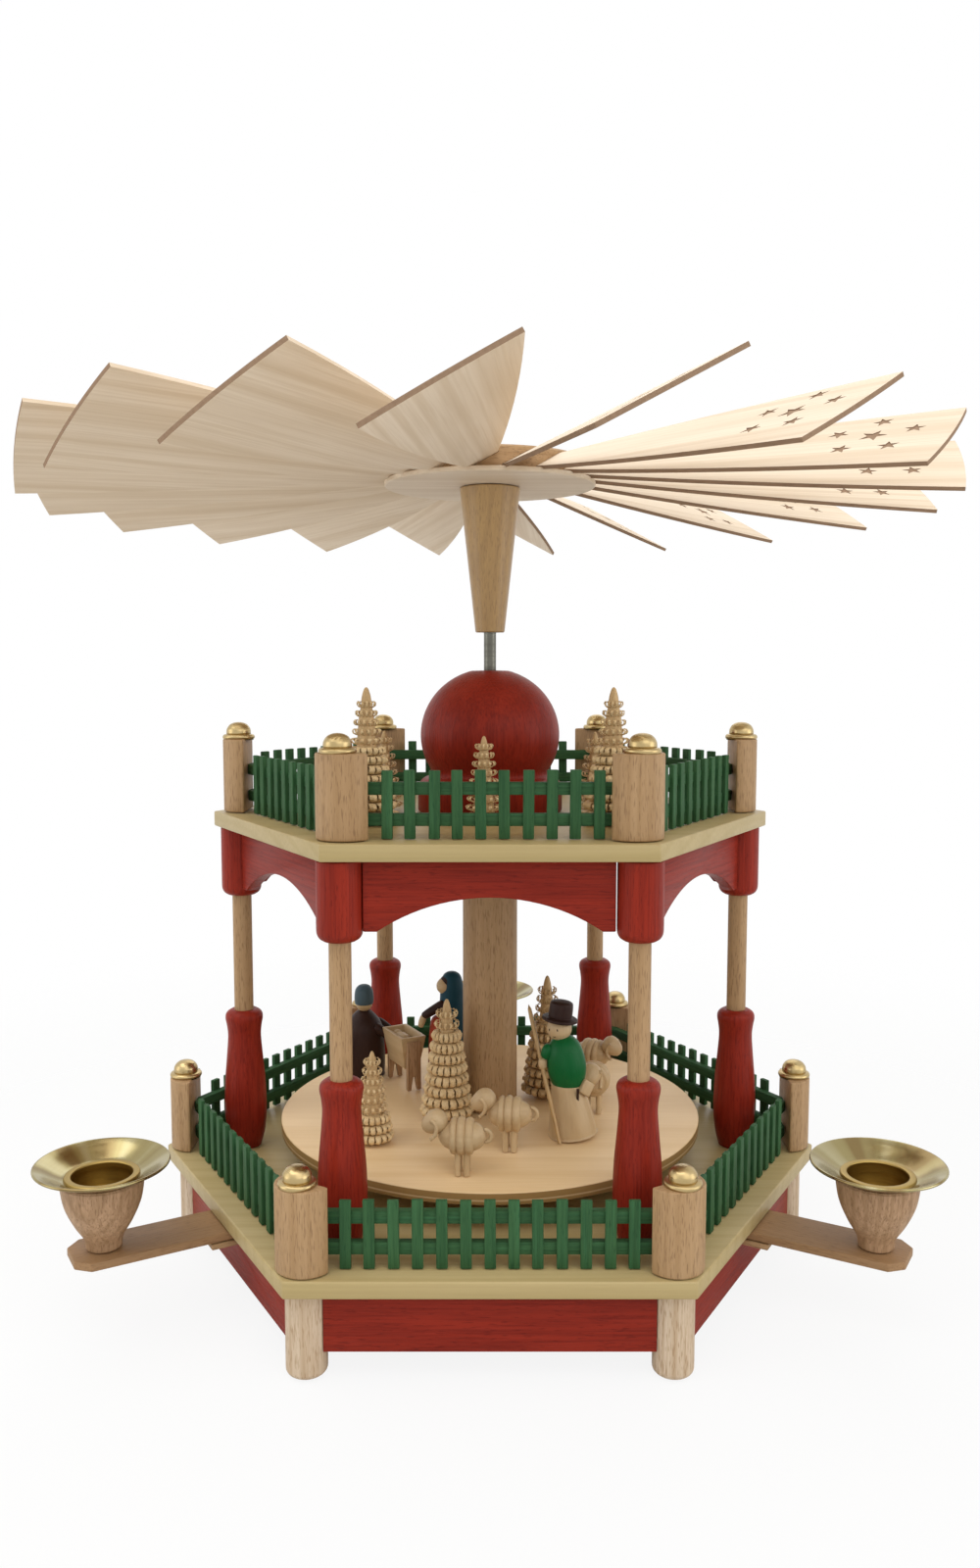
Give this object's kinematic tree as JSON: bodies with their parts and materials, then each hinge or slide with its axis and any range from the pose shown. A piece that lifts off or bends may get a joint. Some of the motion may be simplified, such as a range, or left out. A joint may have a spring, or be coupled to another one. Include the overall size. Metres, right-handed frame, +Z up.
{
  "type": "candle carousel",
  "caption": "Two-storey hexagonal wooden candle carousel: candles on pull-out arms warm a wing wheel that turns a stage of carved figures.",
  "frame": {"origin": "on the floor, on the axis of the shaft, which is the middle of the footprint", "axes": "+Z up along the shaft; -Y is the front, where a side of the hexagon faces the viewer; +X is the viewer's right"},
  "size_m": [0.2892, 0.2937, 0.2617],
  "materials": {
    "beech": "waxed",
    "red_stain": "satin stain",
    "green_stain": "satin stain",
    "birch_ply": "sanded",
    "limewood": "raw",
    "brass": "polished",
    "steel": "drawn",
    "glass": "clear",
    "green_figure": "painted",
    "dark_figure": "painted",
    "blue_figure": "painted",
    "fleece": "raw"
  },
  "bodies": {
    "stand": {"base_board": "beech", "skirt": "red_stain", "foot_1": "beech", "foot_2": "beech", "foot_3": "beech", "foot_4": "beech", "foot_5": "beech", "foot_6": "beech", "bearing_block": "beech", "glass_bearing": "glass", "lower_fence": "green_stain", "lower_post_1": "beech", "lower_post_2": "beech", "lower_post_3": "beech", "lower_post_4": "beech", "lower_post_5": "beech", "lower_post_6": "beech", "column_1": "red_stain", "column_2": "red_stain", "column_3": "red_stain", "column_4": "red_stain", "column_5": "red_stain", "column_6": "red_stain", "upper_board": "beech", "upper_fence": "green_stain", "upper_post_1": "beech", "upper_post_2": "beech", "upper_post_3": "beech", "upper_post_4": "beech", "upper_post_5": "beech", "upper_post_6": "beech", "bearing_ball": "red_stain", "upper_tree_1": "limewood", "upper_tree_2": "limewood", "upper_tree_3": "limewood", "upper_tree_4": "limewood", "upper_tree_5": "limewood"},
    "left_arm": {"candle_arm_1": "beech", "candle_cup_1": "beech", "candle_socket_1": "brass"},
    "right_arm": {"candle_arm_2": "beech", "candle_cup_2": "beech", "candle_socket_2": "brass"},
    "rear_arm": {"candle_arm_3": "beech", "candle_cup_3": "beech", "candle_socket_3": "brass"},
    "rotor": {"shaft": "steel", "turntable": "birch_ply", "centre_column": "beech", "wing_hub": "beech", "wing_wheel": "birch_ply", "shepherd": "green_figure", "robed_man": "dark_figure", "veiled_woman": "blue_figure", "crib": "limewood", "sheep_1": "fleece", "sheep_2": "fleece", "sheep_3": "fleece", "stage_tree": "limewood", "young_tree": "limewood"}
  },
  "joints": [
    {"name": "rotor_spin", "type": "hinge", "parent": "stand", "child": "rotor", "pos_m": [0, 0, 0.0337], "axis": [0, 0, 1], "continuous": true},
    {"name": "left_arm_slide", "type": "slide", "parent": "stand", "child": "left_arm", "axis": [-0.866, -0.5, 0], "range_m": [0, 0.03]},
    {"name": "right_arm_slide", "type": "slide", "parent": "stand", "child": "right_arm", "axis": [0.866, -0.5, 0], "range_m": [0, 0.03]},
    {"name": "rear_arm_slide", "type": "slide", "parent": "stand", "child": "rear_arm", "axis": [0, 1, 0], "range_m": [0, 0.03]}
  ]
}
